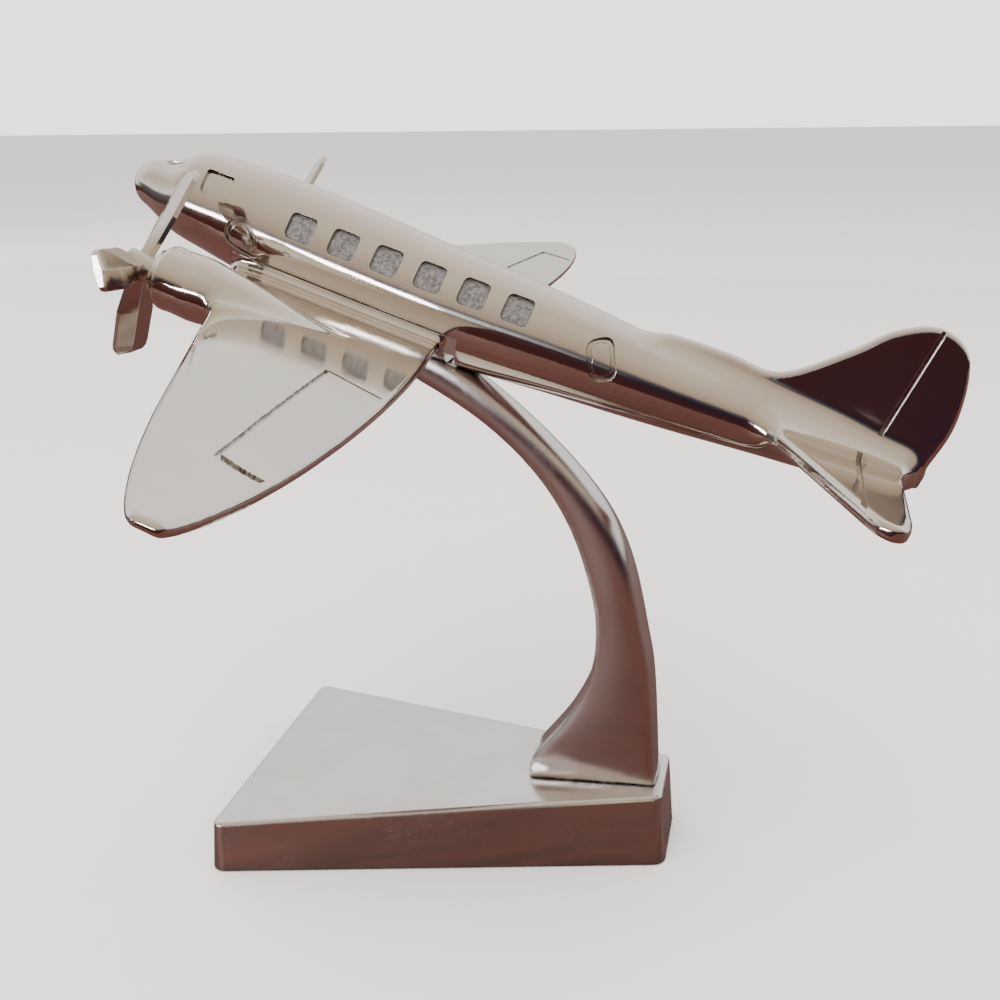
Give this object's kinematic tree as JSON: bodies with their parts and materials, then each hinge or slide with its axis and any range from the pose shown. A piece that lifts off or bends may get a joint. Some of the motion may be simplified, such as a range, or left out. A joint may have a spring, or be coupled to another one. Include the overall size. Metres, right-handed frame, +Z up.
{
  "type": "desktop airliner model",
  "caption": "Polished cast-metal desk model of a twin-engine propeller airliner climbing on a curved arm over a wedge-shaped base, with propellers that spin.",
  "frame": {"origin": "centre of the stand's underside, on the surface it stands on", "axes": "+X towards the nose, +Y to port (left wing), +Z up"},
  "size_m": [0.2112, 0.31, 0.1891],
  "materials": {
    "cast_body": "mirror polished cast aluminium",
    "cast_propeller": "polished cast aluminium",
    "cast_arm": "polished cast aluminium, slightly hazy",
    "cast_base": "satin polished cast aluminium",
    "steel_pin": "turned",
    "steel_screws": "zinc plated",
    "rubber_pad": "matte"
  },
  "bodies": {
    "root": {"fuselage": "cast_body", "wing_casting": "cast_body", "propeller_pin_port": "steel_pin", "propeller_pin_starboard": "steel_pin", "pin_washer_port": "steel_pin", "pin_washer_starboard": "steel_pin", "stand_arm": "cast_arm", "stand_base": "cast_base", "base_screws": "steel_screws", "base_washers": "steel_screws", "head_screws": "steel_screws", "head_washers": "steel_screws", "base_pad": "rubber_pad"},
    "propeller_port": {"propeller_port": "cast_propeller"},
    "propeller_starboard": {"propeller_starboard": "cast_propeller"}
  },
  "joints": [
    {"name": "propeller_port_spin", "type": "hinge", "parent": "root", "child": "propeller_port", "pos_m": [0.06177, 0.04, 0.16566], "axis": [0.9005, 0.1386, 0.4121], "continuous": true},
    {"name": "propeller_starboard_spin", "type": "hinge", "parent": "root", "child": "propeller_starboard", "pos_m": [0.06177, -0.04, 0.16566], "axis": [0.9424, 0, 0.3345], "continuous": true}
  ]
}
